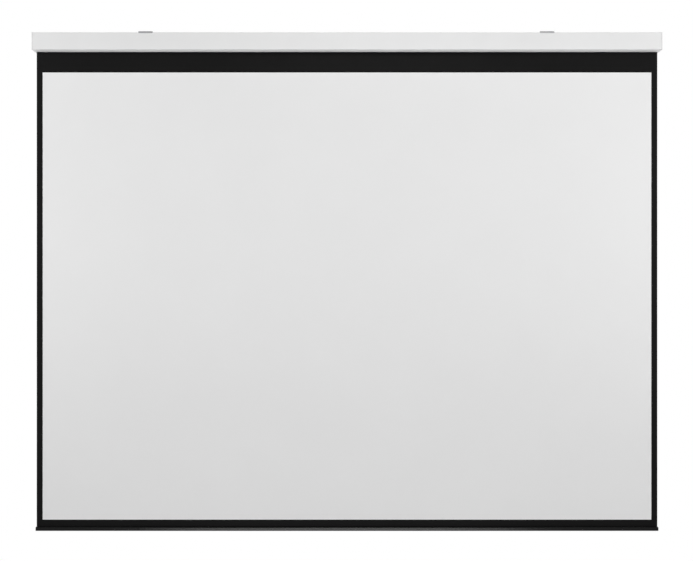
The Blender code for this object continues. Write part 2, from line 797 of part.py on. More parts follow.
def power_socket(case):
    """The inlet, flush with the left plate, with three contact pins on its floor."""
    body = extruded(
        "power_socket",
        [box_outline(SOCKET_WIDTH / 2, SOCKET_HEIGHT / 2, radius=SOCKET_CORNER)],
        SOCKET_DEPTH,
    )
    at = (SOCKET_FACE + SOCKET_DEPTH / 2, ROLLER_Y, SOCKET_Z)
    socket = piece("power_socket", body, black_plastic(), at, case)
    half_width = SOCKET_WIDTH / 2 - SOCKET_WALL
    half_height = SOCKET_HEIGHT / 2 - SOCKET_WALL
    cavity = extruded(
        "socket_cavity",
        [box_outline(half_width, half_height)],
        2 * (SOCKET_DEPTH - SOCKET_FLOOR),
    )
    cut(socket, cutter("socket_cavity", cavity, (SOCKET_FACE, ROLLER_Y, SOCKET_Z), case))
    floor = SOCKET_FACE + SOCKET_DEPTH - SOCKET_FLOOR
    pin = rod("socket_pin", SOCKET_PIN_RADIUS, -SOCKET_FLOOR / 2, SOCKET_PIN_LENGTH)
    for number in (-1, 0, 1):
        at = (floor, ROLLER_Y + number * SOCKET_PIN_PITCH, SOCKET_Z)
        tool = cutter(f"socket_pin_{number + 2}", pin, at, case, to_the_side(-1))
        fuse(socket, spin_up(tool, 12))


def limit_screws(case):
    """The two stop screws, each turning in the motor head behind its access hole."""
    body = rod("limit_screw", LIMIT_RADIUS, -LIMIT_LENGTH, 0)
    key = extruded("limit_key", [circle((0, 0), LIMIT_KEY_RADIUS, 6)], LIMIT_LENGTH, "Z")
    for word, way in (("up", -1), ("down", 1)):
        place = (LIMIT_FACE, ROLLER_Y + way * LIMIT_OFFSET, LIMIT_Z)
        axis = frame(f"limit_axis_{word}", place, case)
        name = f"limit_screw_{word}"
        screw = piece(name, body, yellow_plastic(), place, axis, to_the_side(-1))
        spin_up(screw, 24)
        cut(screw, cutter(f"limit_key_{word}", key, place, axis, to_the_side(-1)))


def motor_body(case):
    """The motor and gearbox tube, with the bore that the output shaft runs in."""
    bore = SHAFT_RADIUS + FIT
    line = [
        (0, MOTOR_LENGTH + NOSE_LENGTH - SHAFT_SEAT),
        (bore, MOTOR_LENGTH + NOSE_LENGTH - SHAFT_SEAT),
        (bore, MOTOR_LENGTH + NOSE_LENGTH),
        (NOSE_RADIUS, MOTOR_LENGTH + NOSE_LENGTH),
        (NOSE_RADIUS, MOTOR_LENGTH),
        (MOTOR_RADIUS - MOTOR_EDGE, MOTOR_LENGTH),
        (MOTOR_RADIUS, MOTOR_LENGTH - MOTOR_EDGE),
        (MOTOR_RADIUS, 0),
        (0, 0),
    ]
    at = (MOTOR_START, ROLLER_Y, ROLLER_Z)
    body = piece(
        "motor_body", profile("motor_body", line), black_steel(), at, case, to_the_side(1)
    )
    spin_up(body, ROUND_STEPS)


def idler_pin(case):
    """The stub axle on the right plate, with the bore that its screw goes in."""
    line = [
        (0, 0),
        (PIN_FLANGE_RADIUS, 0),
        (PIN_FLANGE_RADIUS, -PIN_FLANGE),
        (PIN_RADIUS, -PIN_FLANGE),
        (PIN_RADIUS, -PIN_LENGTH + PIN_EDGE),
        (PIN_RADIUS - PIN_EDGE, -PIN_LENGTH),
        (0, -PIN_LENGTH),
    ]
    at = (PIN_FACE, ROLLER_Y, ROLLER_Z)
    pin = piece("idler_pin", profile("idler_pin", line), bare_steel(), at, case, to_the_side(1))
    spin_up(pin, 32)
    cut(pin, bpy.data.objects["hole_for_idler_pin_screw"])


def rivet_profile(gap=0.0):
    """Half section of a countersunk tube rivet, or of its hole where a gap is given."""
    head = TUBE_RIVET_HEAD_RADIUS + gap
    shank = TUBE_RIVET_RADIUS + gap
    end = -TUBE_WALL - WHEEL_RIM_WALL / 2 - gap
    top = [(0, CUTTER_REACH), (head, CUTTER_REACH)] if gap else [(0, 0)]
    return top + [(head, 0), (shank, -TUBE_RIVET_CONE), (shank, end), (0, end)]


def roller_tube(roller):
    mesh = extruded("roller_tube", [tube_outer(), keyed_outline(0)], TUBE_LENGTH)
    tube = piece("roller_tube", mesh, bare_aluminium(), (0, ROLLER_Y, ROLLER_Z), roller)
    hole = profile("rivet_hole", rivet_profile(FIT))
    rivet = profile("tube_rivet", rivet_profile())
    for word, x in (("drive", DRIVE_RIVET_X), ("idler", IDLER_RIVET_X)):
        at = (x, ROLLER_Y, ROLLER_Z + TUBE_RADIUS - FIT)
        tool = spin_up(cutter(f"rivet_hole_{word}", hole, at, roller), 12)
        cut(tube, tool)
        spin_up(piece(f"tube_rivet_{word}", rivet, bare_aluminium(), at, roller), 12)


def roller_spline(roller):
    """The flat strip in the tube's groove, which the sheet's upper edge is fixed to."""
    radius = (POCKET_TOP + POCKET_BOTTOM) / 2
    outline = box_outline(SPLINE_WIDTH / 2, SPLINE_THICKNESS / 2, centre=(0, -radius))
    mesh = extruded("roller_spline", [outline], SHEET_WIDTH)
    piece("roller_spline", mesh, black_plastic(), (0, ROLLER_Y, ROLLER_Z), roller)


def wound_fabric(roller):
    """The turns that stay on the tube, from the hanging edge inwards to the groove's mouth."""
    sweep = TURN * TURNS_LEFT
    steps = round(ROUND_STEPS * TURNS_LEFT)
    half = SHEET_THICKNESS / 2
    outer = []
    inner = []
    for step in range(steps + 1):
        angle = sweep * step / steps
        radius = SHEET_RADIUS - WRAP_PITCH * angle / TURN
        outer.append(polar(angle, radius + half, 0))
        inner.append(polar(angle, radius - half, 0))
    last = SHEET_RADIUS - WRAP_PITCH * TURNS_LEFT
    tucked = ((last + half, SHEET_THICKNESS), (POCKET_TOP, SHEET_THICKNESS), (POCKET_TOP, 0))
    tail = [polar(sweep, out, aside) for out, aside in tucked]
    mesh = extruded("wound_fabric", [outer + tail + inner[::-1]], SHEET_WIDTH)
    piece("wound_fabric", mesh, black_fabric(), (0, ROLLER_Y, ROLLER_Z), roller)


def drive_wheel(roller):
    """The keyed wheel between the motor's shaft and the tube."""
    bore = flatted(SHAFT_RADIUS + FIT, SHAFT_FLAT + FIT)
    hub = SHAFT_RADIUS + FIT + WHEEL_HUB_WALL
    mesh = extruded(
        "drive_wheel", [keyed_outline(FIT), bore, *wheel_windows(hub)], WHEEL_LENGTH
    )
    at = ((WHEEL_START + WHEEL_END) / 2, ROLLER_Y, ROLLER_Z)
    wheel = piece("drive_wheel", mesh, black_plastic(), at, roller)
    cut(wheel, bpy.data.objects["rivet_hole_drive"])


def motor_output_shaft(roller):
    """The D-shaped shaft, with the groove that its clip sits in."""
    length = SHAFT_END - SHAFT_START
    mesh = extruded("motor_output_shaft", [flatted(SHAFT_RADIUS, SHAFT_FLAT)], length)
    at = ((SHAFT_START + SHAFT_END) / 2, ROLLER_Y, ROLLER_Z)
    shaft = piece("motor_output_shaft", mesh, bare_steel(), at, roller)
    width = SHAFT_CLIP_THICKNESS + FIT
    groove = ring("shaft_groove", SHAFT_FLAT - 2 * FIT, 2 * SHAFT_RADIUS, -FIT, width)
    tool = cutter("shaft_groove", groove, (CLIP_START, ROLLER_Y, ROLLER_Z), roller, to_the_side(1))
    cut(shaft, spin_up(tool, 24))


def drive_wheel_clip(roller):
    """The open ring in the shaft's groove, which keeps the wheel on."""
    inner = SHAFT_FLAT - FIT
    outer = inner + SHAFT_CLIP_WIDTH
    opening = SHAFT_CLIP_OPENING / 2
    outline = arc((0, 0), outer, opening, TURN - opening, 20)
    outline += arc((0, 0), inner, TURN - opening, opening, 16)
    mesh = extruded("drive_wheel_clip", [outline], SHAFT_CLIP_THICKNESS)
    at = (CLIP_START + SHAFT_CLIP_THICKNESS / 2, ROLLER_Y, ROLLER_Z)
    piece("drive_wheel_clip", mesh, bare_steel(), at, roller)


def limit_crown(roller):
    """The keyed ring that turns with the tube round the motor and drives its stops."""
    outlines = [keyed_outline(FIT), circle((0, 0), MOTOR_RADIUS + FIT)]
    mesh = extruded("limit_crown", outlines, CROWN_LENGTH)
    at = (CROWN_START + CROWN_LENGTH / 2, ROLLER_Y, ROLLER_Z)
    piece("limit_crown", mesh, black_plastic(), at, roller)


def idler_end(roller):
    """The keyed plug in the tube's right end and the bush that runs on the stub axle."""
    bush_inner = PIN_RADIUS + FIT
    bush_outer = bush_inner + BUSH_WALL
    bore = circle((0, 0), bush_outer + FIT, 32)
    hub = bush_outer + FIT + WHEEL_HUB_WALL / 2
    mesh = extruded("idler_plug", [keyed_outline(FIT), bore, *wheel_windows(hub)], PLUG_LENGTH)
    at = ((PLUG_START + PLUG_END) / 2, ROLLER_Y, ROLLER_Z)
    plug = piece("idler_plug", mesh, black_plastic(), at, roller)
    cut(plug, bpy.data.objects["rivet_hole_idler"])
    flange = bush_outer + BUSH_FLANGE_RISE
    end = -BUSH_FLANGE - PLUG_LENGTH / 2
    line = [
        (flange, 0),
        (flange, -BUSH_FLANGE + FIT),
        (bush_outer, -BUSH_FLANGE + FIT),
        (bush_outer, end),
        (bush_inner, end),
        (bush_inner, 0),
    ]
    at = (BUSH_FACE, ROLLER_Y, ROLLER_Z)
    bush = profile("idler_bush", line, ring=True)
    spin_up(piece("idler_bush", bush, natural_nylon(), at, roller, to_the_side(1)), 32)


def projection_sheet(case):
    """The hanging sheet, from where it leaves the roll down to its hem."""
    top = ROLLER_Z - FIT
    bottom = BAR_TOP + HEM_RISE + FIT
    outline = box_outline(SHEET_THICKNESS / 2, (top - bottom) / 2, centre=(0, bottom / 2 - top / 2))
    mesh = extruded("projection_sheet", [outline], SHEET_WIDTH)
    piece("projection_sheet", mesh, white_fabric(), (0, SHEET_Y, top), case)


def bar_outline():
    half = BAR_DEPTH / 2
    return [
        (-half, 0, BAR_TOP_CORNER),
        (-half, -BAR_HEIGHT, BAR_BOTTOM_CORNER),
        (half, -BAR_HEIGHT, BAR_BOTTOM_CORNER),
        (half, 0, BAR_TOP_CORNER),
    ]


def weight_bar_profile(bar):
    """The bar's extrusion: a rounded skin, with the hem's groove hanging from its top."""
    mouth = KEDER_MOUTH / 2
    pocket = KEDER_WIDTH / 2
    outside = bar_outline() + [
        (mouth, 0),
        (mouth, -BAR_WALL),
        (pocket, -BAR_WALL),
        (pocket, KEDER_FLOOR),
        (-pocket, KEDER_FLOOR),
        (-pocket, -BAR_WALL),
        (-mouth, -BAR_WALL),
        (-mouth, 0),
    ]
    half = BAR_DEPTH / 2 - BAR_WALL
    wall = pocket + KEDER_WALL
    hollow = [
        (-wall, -BAR_WALL),
        (-half, -BAR_WALL, BAR_TOP_CORNER - BAR_WALL),
        (-half, -BAR_HEIGHT + BAR_WALL, BAR_BOTTOM_CORNER - BAR_WALL),
        (half, -BAR_HEIGHT + BAR_WALL, BAR_BOTTOM_CORNER - BAR_WALL),
        (half, -BAR_WALL, BAR_TOP_CORNER - BAR_WALL),
        (wall, -BAR_WALL),
        (wall, KEDER_UNDER),
        (-wall, KEDER_UNDER),
    ]
    mesh = extruded(
        "weight_bar_profile", [rounded(outside, 6), rounded(hollow, 6)], BAR_PROFILE_LENGTH
    )
    piece("weight_bar_profile", mesh, black_paint(), (0, SHEET_Y, BAR_TOP), bar)


def bottom_hem(bar):
    """The sheet's welded hem, which loops round its spline in the bar's groove."""
    neck = SHEET_THICKNESS
    spread = math.asin(neck / HEM_LOOP_OUTER)
    loop = arc((0, HEM_CENTRE), HEM_LOOP_OUTER, QUARTER + spread, QUARTER + TURN - spread, 24)
    outside = [*loop, (neck, HEM_RISE), (-neck, HEM_RISE)]
    mesh = extruded("bottom_hem", [outside, circle((0, HEM_CENTRE), HEM_LOOP_INNER, 24)], HEM_LENGTH)
    piece("bottom_hem", mesh, black_fabric(), (0, SHEET_Y, BAR_TOP), bar)
    mesh = extruded("hem_spline", [circle((0, HEM_CENTRE), HEM_SPLINE_RADIUS, 20)], HEM_LENGTH)
    piece("hem_spline", mesh, white_plastic(), (0, SHEET_Y, BAR_TOP), bar)


def weight_strip(bar):
    """The flat steel bar that weighs the sheet down."""
    middle = STRIP_BOTTOM + STRIP_THICKNESS / 2
    outline = box_outline(STRIP_WIDTH / 2, STRIP_THICKNESS / 2, centre=(0, middle))
    length = BAR_PROFILE_LENGTH - 2 * STRIP_END_GAP
    mesh = extruded("weight_strip", [outline], length)
    piece("weight_strip", mesh, bare_steel(), (0, SHEET_Y, BAR_TOP), bar)


def bar_end_caps(bar):
    """The moulded caps, each with a plug in the bar's hollow."""
    thickness = BAR_CAP - FIT
    plug_middle = STRIP_BOTTOM + STRIP_THICKNESS / 2
    plug = extruded(
        "cap_plug",
        [box_outline(STRIP_WIDTH / 2, STRIP_THICKNESS / 2, centre=(0, plug_middle))],
        CAP_PLUG,
    )
    for word, side in (("left", -1), ("right", 1)):
        mesh = extruded(f"bar_end_cap_{word}", [rounded(bar_outline(), 6)], thickness)
        place = side * (BAR_LENGTH - thickness) / 2
        cap = piece(f"bar_end_cap_{word}", mesh, black_plastic(), (place, SHEET_Y, BAR_TOP), bar)
        bevel(cap, BAR_CAP_EDGE, 3)
        place -= side * CAP_PLUG / 2
        fuse(cap, cutter(f"cap_plug_{word}", plug, (place, SHEET_Y, BAR_TOP), bar))


def bracket_strip():
    """Side view of the bracket's steel: wall flange, arm and the hook in front of the case."""
    outer = BEND_RADIUS + STEEL
    hook_back = CASE_FRONT - FIT
    hook_front = hook_back - STEEL
    return [
        (0, -BRACKET_DROP),
        (0, 0, outer),
        (hook_front, 0, outer),
        (hook_front, -HOOK_DROP),
        (hook_back, -HOOK_DROP),
        (hook_back, -STEEL, BEND_RADIUS),
        (-STEEL, -STEEL, BEND_RADIUS),
        (-STEEL, -BRACKET_DROP),
    ]


def bracket_tongue():
    """Side view of the tongue that is bent out of the arm and goes under the case's flange."""
    return [
        (TONGUE_FRONT, -STEEL / 2),
        (TONGUE_FRONT, FOOT_BOTTOM, 2 * BEND_RADIUS),
        (FOOT_END, FOOT_BOTTOM),
        (FOOT_END, FOOT_TOP),
        (TONGUE_BACK, FOOT_TOP, BEND_RADIUS / 2),
        (TONGUE_BACK, -STEEL / 2),
    ]


def slot_outline(along, across):
    """A round-ended slot."""
    half = (along - across) / 2
    ends = arc((half, 0), across / 2, -QUARTER, QUARTER, 8)
    return ends + arc((-half, 0), across / 2, QUARTER, 3 * QUARTER, 8)


def brackets():
    strip = rounded(bracket_strip())
    tongue = extruded("bracket_tongue", [rounded(bracket_tongue())], TONGUE_WIDTH)
    window = extruded(
        "tongue_window",
        [
            box_outline(
                TONGUE_WIDTH / 2 + TONGUE_RELIEF,
                TONGUE_WINDOW / 2,
                centre=(0, TONGUE_BACK + TONGUE_WINDOW / 2),
            )
        ],
        4 * STEEL,
        "Z",
    )
    slot = slot_outline(SCREW_SLOT_LENGTH, SCREW_SLOT_WIDTH)
    wall_slot = extruded("wall_slot", [slot], 4 * STEEL, "Y")
    ceiling_slot = extruded("ceiling_slot", [slot], 4 * STEEL, "Z")
    hole = profile("rivet_seat", pivot_profile(FIT))
    for word, x in (("left", BRACKET_LEFT_X), ("right", BRACKET_RIGHT_X)):
        mesh = extruded(f"bracket_{word}", [strip], BRACKET_WIDTH)
        bracket = piece(f"bracket_{word}", mesh, zinc_steel(), (x, 0, 0))
        cut(bracket, cutter(f"tongue_window_{word}", window, (x, 0, 0)))
        fuse(bracket, cutter(f"tongue_{word}", tongue, (x, 0, 0)))
        for number, way in ((1, -1), (2, 1)):
            across = x + way * SCREW_SLOT_OFFSET
            name = f"{word}_{number}"
            tool = cutter(f"wall_slot_{name}", wall_slot, (across, 0, -WALL_SLOT_DROP))
            cut(bracket, tool)
            tool = cutter(f"ceiling_slot_{name}", ceiling_slot, (across, -CEILING_SLOT_FROM_WALL, 0))
            cut(bracket, tool)
        cut(bracket, spin_up(cutter(f"rivet_seat_{word}", hole, (x, LATCH_Y, 0)), 24))


def pivot_profile(gap=0.0):
    """Half section of the latch's rivet above the lever, or of its seat where a gap is given."""
    head = RIVET_HEAD_RADIUS + gap
    shank = RIVET_RADIUS + gap
    top = [(0, CUTTER_REACH), (head, CUTTER_REACH)] if gap else [(0, 0)]
    end = -STEEL - CUTTER_REACH if gap else BLADE_BOTTOM - FIT
    line = top + [(head, 0), (shank, -RIVET_HEAD_HEIGHT), (shank, end)]
    if gap:
        return line + [(0, end)]
    return line + [
        (RIVET_TAIL_RADIUS, end),
        (RIVET_TAIL_RADIUS, end - RIVET_TAIL),
        (0, end - RIVET_TAIL),
    ]


def lever_outline():
    """The latch's handle from above: a hub, a taper and a rounded tip."""
    half = math.acos((LEVER_HUB_RADIUS - LEVER_TIP_RADIUS) / LEVER_LENGTH)
    hub = arc((0, 0), LEVER_HUB_RADIUS, half, TURN - half, 20)
    return hub + arc((LEVER_LENGTH, 0), LEVER_TIP_RADIUS, -half, half, 10)


def latches():
    """Each latch: handle over the case, stem through the channel's mouth, blade under its lips."""
    flat = MOUTH_HALF - BLADE_SIDE_GAP
    reach = math.acos(flat / BLADE_RADIUS)
    blade_outline = arc((0, 0), BLADE_RADIUS, reach, math.pi - reach, 10)
    blade_outline += arc((0, 0), BLADE_RADIUS, math.pi + reach, TURN - reach, 10)
    lever = extruded("latch_lever", [lever_outline()], LEVER_TOP - LEVER_BOTTOM, "Z")
    blade = extruded("latch_blade", [blade_outline], BLADE_TOP - BLADE_BOTTOM, "Z")
    overlap = STEEL / 4
    stem = rod("latch_stem", STEM_RADIUS, BLADE_TOP - overlap, LEVER_BOTTOM + overlap)
    bore = rod("latch_bore", RIVET_RADIUS + FIT, BLADE_BOTTOM - STEEL, STEEL)
    rivet = profile("latch_pivot", pivot_profile())
    for word, x in (("left", BRACKET_LEFT_X), ("right", BRACKET_RIGHT_X)):
        axis = frame(f"latch_axis_{word}", (x, LATCH_Y, 0))
        at = (x, LATCH_Y, (LEVER_TOP + LEVER_BOTTOM) / 2)
        latch = piece(f"latch_{word}", lever, zinc_steel(), at, axis)
        at = (x, LATCH_Y, 0)
        fuse(latch, spin_up(cutter(f"latch_stem_{word}", stem, at, axis), 24))
        low = (x, LATCH_Y, (BLADE_TOP + BLADE_BOTTOM) / 2)
        fuse(latch, cutter(f"latch_blade_{word}", blade, low, axis))
        cut(latch, spin_up(cutter(f"latch_bore_{word}", bore, at, axis), 20))
        spin_up(piece(f"latch_pivot_{word}", rivet, bare_steel(), (x, LATCH_Y, 0)), 20)


def build():
    clear_scene()
    case = frame("case_slide", (0, 0, 0))
    roller = frame("roller_axis", (0, ROLLER_Y, ROLLER_Z), case)
    bar = frame("weight_bar_slide", (0, SHEET_Y, BAR_TOP), case)
    brackets()
    latches()
    case_rear_profile(case)
    case_front_cover(case)
    plates = end_plates(case)
    motor_head(case, plates["left"])
    power_socket(case)
    limit_screws(case)
    motor_body(case)
    idler_pin(case)
    roller_tube(roller)
    roller_spline(roller)
    wound_fabric(roller)
    drive_wheel(roller)
    motor_output_shaft(roller)
    drive_wheel_clip(roller)
    limit_crown(roller)
    idler_end(roller)
    projection_sheet(case)
    weight_bar_profile(bar)
    bottom_hem(bar)
    weight_strip(bar)
    bar_end_caps(bar)


build()
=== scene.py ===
"""Motorised projector screen: its visible pieces and finishes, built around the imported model."""

import json
import math

import bmesh
import bpy
from mathutils import Matrix, Vector


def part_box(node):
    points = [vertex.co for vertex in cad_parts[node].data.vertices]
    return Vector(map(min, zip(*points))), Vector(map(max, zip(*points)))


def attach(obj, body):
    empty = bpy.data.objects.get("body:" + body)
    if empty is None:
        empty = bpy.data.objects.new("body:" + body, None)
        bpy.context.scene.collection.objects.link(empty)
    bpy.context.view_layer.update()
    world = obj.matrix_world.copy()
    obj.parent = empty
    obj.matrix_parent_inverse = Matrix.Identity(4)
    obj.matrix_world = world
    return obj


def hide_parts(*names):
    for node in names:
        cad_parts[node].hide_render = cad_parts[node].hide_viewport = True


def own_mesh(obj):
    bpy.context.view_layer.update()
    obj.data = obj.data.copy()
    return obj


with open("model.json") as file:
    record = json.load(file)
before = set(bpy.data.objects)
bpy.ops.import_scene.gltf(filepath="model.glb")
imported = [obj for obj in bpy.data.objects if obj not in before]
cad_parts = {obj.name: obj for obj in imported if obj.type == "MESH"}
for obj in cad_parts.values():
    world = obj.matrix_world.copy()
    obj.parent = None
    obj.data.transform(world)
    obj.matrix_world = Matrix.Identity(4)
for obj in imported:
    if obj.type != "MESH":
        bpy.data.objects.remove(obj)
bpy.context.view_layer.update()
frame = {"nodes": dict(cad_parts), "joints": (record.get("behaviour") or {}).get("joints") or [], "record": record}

# Picture the scene is seen in, and the lens that gives its angle
PICTURE_WIDTH = 693
FOCAL_PIXELS = 1279
SENSOR = 36.0
EYE = (-0.002, -5.073, -0.972)

# Sheet
VIEW_WIDTH = 2.400
VIEW_TOP = -0.151865
VIEW_BOTTOM = -1.914865
BASE_THICKNESS = 0.00025
LAYER_THICKNESS = 0.00008
LAYER_GAP = 0.00002
HEM_LAP = 0.0012
SHEET_COLUMNS = 96
SHEET_ROWS = 76
WEAVE_PITCH = 0.0011
WEAVE_DEPTH = 0.00005

# Waves of the hanging sheet, in shares of its size: each one's part, repeats across and down,
# and start; then how fast they come in and go out, and where they end above the hem
WAVE_HEIGHT = 0.0008
WAVES = ((1.0, 1.3, 0.0, 0.2), (0.6, 2.1, 0.7, 0.0))
WAVE_COMES = 4
WAVE_GOES = 5
WAVE_FOOT = 0.95

# Fabric left on the roller, and the hem round its spline
SHEET_THICKNESS = 0.00035
RIBBON_COLUMNS = 12
WRAP_PITCH = 0.0004
TURNS_LEFT = 1.75
WRAP_STEPS = 96
TUCK_RADIUS = 0.0239
TUCK_BEND = 0.7
HEM_STEPS = 32
HEM_GAP = 0.0002

# Screws; each step of a recess draws in to a share of the last one, over a share of the depth
RECESS_SIDES = 12
RECESS_RADIUS = 0.0020
RECESS_WAIST = 0.40
RECESS_DEPTH = 0.0017
RECESS_STEPS = ((0.86, 0.7), (0.4, 0.3))
HEAD_EDGE = 0.00012
SCREW_CONE = 0.0022
SCREW_TURN = 0.9
THREAD_ROOT = 0.00125
THREAD_CREST = 0.00172
THREAD_FLANK = 0.34
THREAD_PITCH = 0.0013
THREAD_SIDES = 32
THREAD_STEPS = 6
SCREW_POINT = 0.0025
POINT_END = 0.25

# Inlet on the left end; each step of a contact has a share of the last width, and a length
INLET_WALL = 0.0014
INLET_FLOOR = 0.002
INLET_CORNER = 0.0008
INLET_EDGE = 0.0002
INLET_DRAFT = 0.985
CORNER_STEPS = 5
CONTACT_RADIUS = 0.0008
CONTACT_SIDES = 20
CONTACT_PITCH = 0.0045
CONTACT_STEPS = ((1, 0.0052), (0.8, 0.0005), (0.55, 0.0003))

# Motor tube, its seams from the head on, and the nose that its shaft runs in
MOTOR_LENGTH = 0.380
MOTOR_SIDES = 64
MOTOR_EDGE = 0.0008
SEAMS = (0.030, 0.1, 0.104, 0.262, 0.266, 0.352)
SEAM_DEPTH = 0.0003
SEAM_MOUTH = 0.0009
SEAM_FLOOR = 0.0004
NOSE_FOOT = 0.0098
NOSE_RADIUS = 0.009
NOSE_EDGE = 0.0005
SHAFT_HOLE = 0.0053
SHAFT_DEPTH = 0.0077

# Edges as folding, stamping and moulding leave them
STEEL_EDGE = 0.0002
MOULDED_EDGE = 0.0003

# Floor; between the two shares of its radius it goes from part white to white
FLOOR_RADIUS = 4.0
FLOOR_MIDDLE = -1.2
FLOOR_HEIGHT = -3.0
FADE_FROM = 0.25
FADE_TO = 0.97
PART_WHITE = 0.55

MERGE = 0.000002
FLAT = math.radians(0.6)
SHARP = math.radians(32)
QUARTER = math.pi / 2


# Shader values written as Python expressions


class Value:
    """One socket of a finish, which adds and multiplies as a number does."""

    def __init__(self, finish, socket):
        self.finish = finish
        self.socket = socket

    def math(self, operation, *others):
        return self.finish.math(operation, self, *others)

    def __add__(self, other):
        return self.math("ADD", other)

    __radd__ = __add__

    def __sub__(self, other):
        return self.math("SUBTRACT", other)

    def __rsub__(self, other):
        return self.finish.math("SUBTRACT", other, self)

    def __mul__(self, other):
        return self.math("MULTIPLY", other)

    __rmul__ = __mul__

    def __pow__(self, other):
        return self.math("POWER", other)


class Finish:
    """A material and the few calls that wire its nodes."""

    def __init__(self, name, **constants):
        self.material = bpy.data.materials.new(name)
        self.material.use_nodes = True
        self.nodes = self.material.node_tree.nodes
        self.links = self.material.node_tree.links
        self.shader = self.nodes["Principled BSDF"]
        self.feed(self.shader, {key.replace("_", " "): v for key, v in constants.items()})

    def feed(self, node, inputs):
        for key, value in inputs.items():
            if isinstance(value, Value):
                self.links.new(value.socket, node.inputs[key])
            else:
                node.inputs[key].default_value = value

    def node(self, kind, settings=None, inputs=None, output=0):
        """A node of any kind: its settings first, then what its sockets take."""
        made = self.nodes.new(kind)
        for key, value in (settings or {}).items():
            setattr(made, key, value)
        self.feed(made, inputs or {})
        return Value(self, made.outputs[output])

    def math(self, operation, *values):
        return self.node("ShaderNodeMath", {"operation": operation}, dict(enumerate(values)))

    def axis(self, name):
        """How far along an axis a point of the piece lies."""
        point = self.node("ShaderNodeTexCoord", output="Object")
        return self.node("ShaderNodeSeparateXYZ", inputs={0: point}, output=name)

    def noise(self, scale, detail, stretch=(1, 1, 1)):
        """Noise over the piece, stretched so that it runs along an axis."""
        point = self.node("ShaderNodeTexCoord", output="Object")
        where = self.node("ShaderNodeMapping", inputs={0: point, 3: stretch})
        inputs = {"Vector": where, "Scale": scale, "Detail": detail}
        return self.node("ShaderNodeTexNoise", inputs=inputs)

    def spread(self, value, low, high, to_low=0, to_high=1):
        """A value carried from one range to another, and held inside it."""
        inputs = {0: value, 1: low, 2: high, 3: to_low, 4: to_high}
        return self.node("ShaderNodeMapRange", inputs=inputs)

    def mix(self, share, a, b):
        """A colour between a and b."""
        inputs = {0: share, 6: a, 7: b}
        return self.node("ShaderNodeMix", {"data_type": "RGBA"}, inputs, 2)

    def relief(self, height, depth):
        inputs = {"Distance": depth, "Height": height}
        self.feed(self.shader, {"Normal": self.node("ShaderNodeBump", inputs=inputs)})

    def colour(self, value):
        self.feed(self.shader, {"Base Color": value})

    def roughness(self, value):
        self.feed(self.shader, {"Roughness": value})


def grey(shade, warmth=0.0):
    return (shade * (1 + warmth), shade, shade * (1 - warmth), 1)


# Finishes


def powder_coat(name, shade, gloss, specular):
    """Sprayed powder: orange peel over fine grain, with faint settling marks."""
    coat = Finish(name, Specular_IOR_Level=specular)
    peel = coat.noise(520, 2)
    grain = coat.noise(2600, 1)
    cloud = coat.noise(7, 3)
    coat.colour(coat.mix(coat.spread(cloud, 0.35, 0.7), grey(shade * 0.975), grey(shade)))
    coat.roughness(gloss + 0.10 * (peel - 0.5) + 0.08 * (cloud - 0.5))
    coat.relief(0.75 * peel + 0.25 * grain, 0.00006)
    return coat.material


def moulded(name, colour, dark, gloss, specular=0.5):
    """Moulded plastic: the fine spark-eroded grain of its mould and faint flow marks."""
    plastic = Finish(name, Specular_IOR_Level=specular)
    grain = plastic.noise(1900, 2)
    flow = plastic.noise(28, 3, (1, 1, 0.4))
    plastic.colour(plastic.mix(plastic.spread(flow, 0.3, 0.7), dark, colour))
    plastic.roughness(gloss + 0.14 * (grain - 0.5) + 0.06 * (flow - 0.5))
    plastic.relief(grain, 0.00004)
    return plastic.material


def woven(name, colour, dark, rough, specular):
    """Coated cloth: the weave's threads show through a matt skin."""
    cloth = Finish(name, Specular_IOR_Level=specular)
    across = (cloth.axis("X") * (math.tau / WEAVE_PITCH)).math("SINE")
    down = (cloth.axis("Z") * (math.tau / WEAVE_PITCH)).math("SINE")
    threads = 0.5 + 0.5 * across * down
    slub = cloth.noise(900, 2, (1, 1, 0.15))
    fleck = cloth.noise(2400, 1)
    cloud = cloth.noise(3.2, 2)
    tone = cloth.spread(cloud + 0.25 * (slub - 0.5), 0.3, 0.7)
    cloth.colour(cloth.mix(tone, dark, colour))
    cloth.roughness(rough + 0.08 * (fleck - 0.5) - 0.04 * threads)
    cloth.relief(0.6 * threads + 0.25 * slub + 0.15 * fleck, WEAVE_DEPTH)
    return cloth.material


def bar_coat():
    """The weight bar: satin black over the extrusion's fine die lines."""
    coat = Finish("bar_coat", Specular_IOR_Level=0.125)
    lines = coat.noise(900, 2, (0.004, 1, 1))
    grain = coat.noise(1500, 1)
    cloud = coat.noise(9, 2, (0.3, 1, 1))
    coat.colour(coat.mix(cloud, grey(0.0035), grey(0.0055)))
    coat.roughness(0.17 + 0.07 * (lines - 0.5) + 0.05 * (grain - 0.5))
    coat.relief(0.6 * lines + 0.4 * grain, 0.00003)
    return coat.material


def zinc():
    """Zinc plate: soft blotches, pressed scratches and a faint blue-yellow tint."""
    plate = Finish("zinc_plate", Metallic=1.0)
    blotch = plate.noise(60, 4)
    tint = plate.spread(plate.noise(14, 2), 0.35, 0.65)
    scratch = plate.noise(420, 2, (0.05, 1, 1))
    pale = plate.mix(tint, (0.31, 0.315, 0.325, 1), (0.34, 0.337, 0.33, 1))
    plate.colour(plate.mix(plate.spread(blotch, 0.3, 0.75, 0, 0.5), pale, grey(0.26)))
    plate.roughness(0.34 + 0.22 * (blotch - 0.5) + 0.12 * (scratch - 0.5))
    plate.relief(0.7 * scratch + 0.3 * blotch, 0.00002)
    return plate.material


